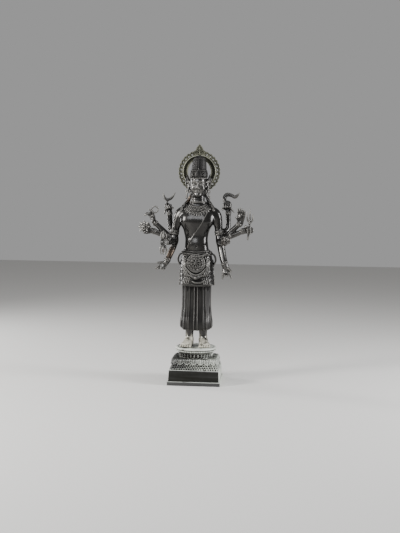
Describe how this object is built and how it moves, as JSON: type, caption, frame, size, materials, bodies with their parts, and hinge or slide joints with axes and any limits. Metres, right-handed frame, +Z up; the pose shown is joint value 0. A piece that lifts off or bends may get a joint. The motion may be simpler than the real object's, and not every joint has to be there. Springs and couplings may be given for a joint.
{
  "type": "standing deity figure",
  "caption": "Standing many-armed Shiva in dark cast bronze with a tall fluted crown, a flame-edged aureole behind the head and a lotus pedestal on a square block.",
  "frame": {"origin": "middle of the pedestal's underside, on the floor", "axes": "+Z up from the pedestal to the crown; the figure faces -Y; +X is the figure's left hand, the viewer's right"},
  "size_m": [0.3491, 0.167, 0.7303],
  "materials": {
    "pedestal_bronze": "cast bronze with a pale grey-green patina on the petals and the rim",
    "figure_bronze": "near-black bronze, smooth and shiny where it is handled",
    "aureole_bronze": "olive-grey patinated bronze, satin"
  },
  "bodies": {
    "root": {"pedestal": "pedestal_bronze", "figure": "figure_bronze", "aureole": "aureole_bronze"}
  },
  "joints": []
}
